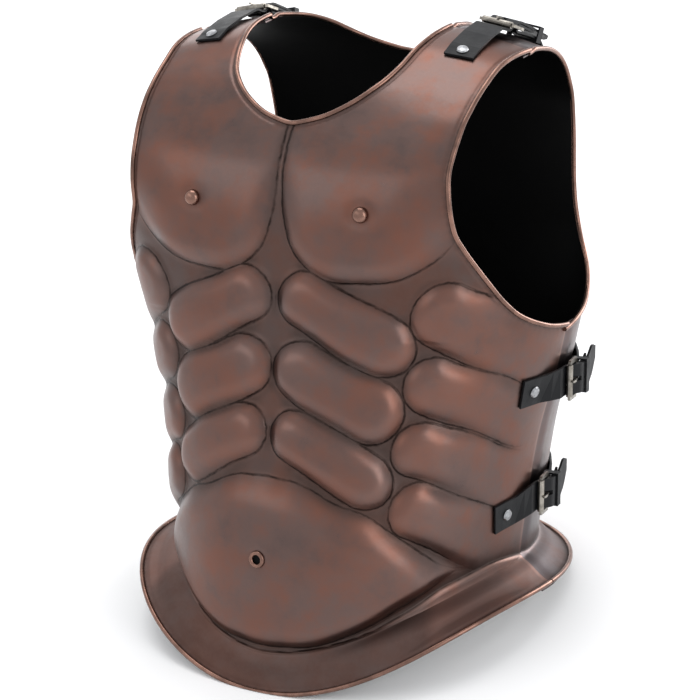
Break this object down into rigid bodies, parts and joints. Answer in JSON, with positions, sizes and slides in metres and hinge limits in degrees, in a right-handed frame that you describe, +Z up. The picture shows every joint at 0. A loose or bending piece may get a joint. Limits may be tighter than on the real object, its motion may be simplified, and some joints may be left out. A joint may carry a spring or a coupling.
{
  "type": "muscle cuirass",
  "caption": "Leather-strapped muscle cuirass: an embossed bronze-finished breastplate and a plain backplate, joined at shoulders and sides by buckles.",
  "frame": {"origin": "middle of the bounding box on the level surface that the cuirass stands on", "axes": "+Z up, the chest faces -Y, the wearer's left is +X; the armour leans back on its front tip and back rim, as it stands by itself"},
  "size_m": [0.4114, 0.4088, 0.5036],
  "materials": {
    "bronze_plate": "aged copper-bronze outside with dark patina in the creases, black paint inside",
    "strap_leather": "black waxed leather",
    "nickel": "aged nickel plate",
    "rivet_steel": "tumbled steel"
  },
  "bodies": {
    "root": {"breastplate": "bronze_plate", "backplate": "bronze_plate", "left_shoulder_tongue_strap": "strap_leather", "left_shoulder_buckle_strap": "strap_leather", "left_shoulder_keeper": "strap_leather", "left_shoulder_buckle_frame": "nickel", "left_shoulder_roller": "nickel", "left_shoulder_prong": "nickel", "left_shoulder_front_rivet": "rivet_steel", "left_shoulder_back_rivet": "rivet_steel", "left_upper_side_tongue_strap": "strap_leather", "left_upper_side_buckle_strap": "strap_leather", "left_upper_side_keeper": "strap_leather", "left_upper_side_buckle_frame": "nickel", "left_upper_side_roller": "nickel", "left_upper_side_prong": "nickel", "left_upper_side_front_rivet": "rivet_steel", "left_upper_side_back_rivet": "rivet_steel", "left_lower_side_tongue_strap": "strap_leather", "left_lower_side_buckle_strap": "strap_leather", "left_lower_side_keeper": "strap_leather", "left_lower_side_buckle_frame": "nickel", "left_lower_side_roller": "nickel", "left_lower_side_prong": "nickel", "left_lower_side_front_rivet": "rivet_steel", "left_lower_side_back_rivet": "rivet_steel", "right_shoulder_tongue_strap": "strap_leather", "right_shoulder_buckle_strap": "strap_leather", "right_shoulder_keeper": "strap_leather", "right_shoulder_buckle_frame": "nickel", "right_shoulder_roller": "nickel", "right_shoulder_prong": "nickel", "right_shoulder_front_rivet": "rivet_steel", "right_shoulder_back_rivet": "rivet_steel", "right_upper_side_tongue_strap": "strap_leather", "right_upper_side_buckle_strap": "strap_leather", "right_upper_side_keeper": "strap_leather", "right_upper_side_buckle_frame": "nickel", "right_upper_side_roller": "nickel", "right_upper_side_prong": "nickel", "right_upper_side_front_rivet": "rivet_steel", "right_upper_side_back_rivet": "rivet_steel", "right_lower_side_tongue_strap": "strap_leather", "right_lower_side_buckle_strap": "strap_leather", "right_lower_side_keeper": "strap_leather", "right_lower_side_buckle_frame": "nickel", "right_lower_side_roller": "nickel", "right_lower_side_prong": "nickel", "right_lower_side_front_rivet": "rivet_steel", "right_lower_side_back_rivet": "rivet_steel"}
  },
  "joints": []
}
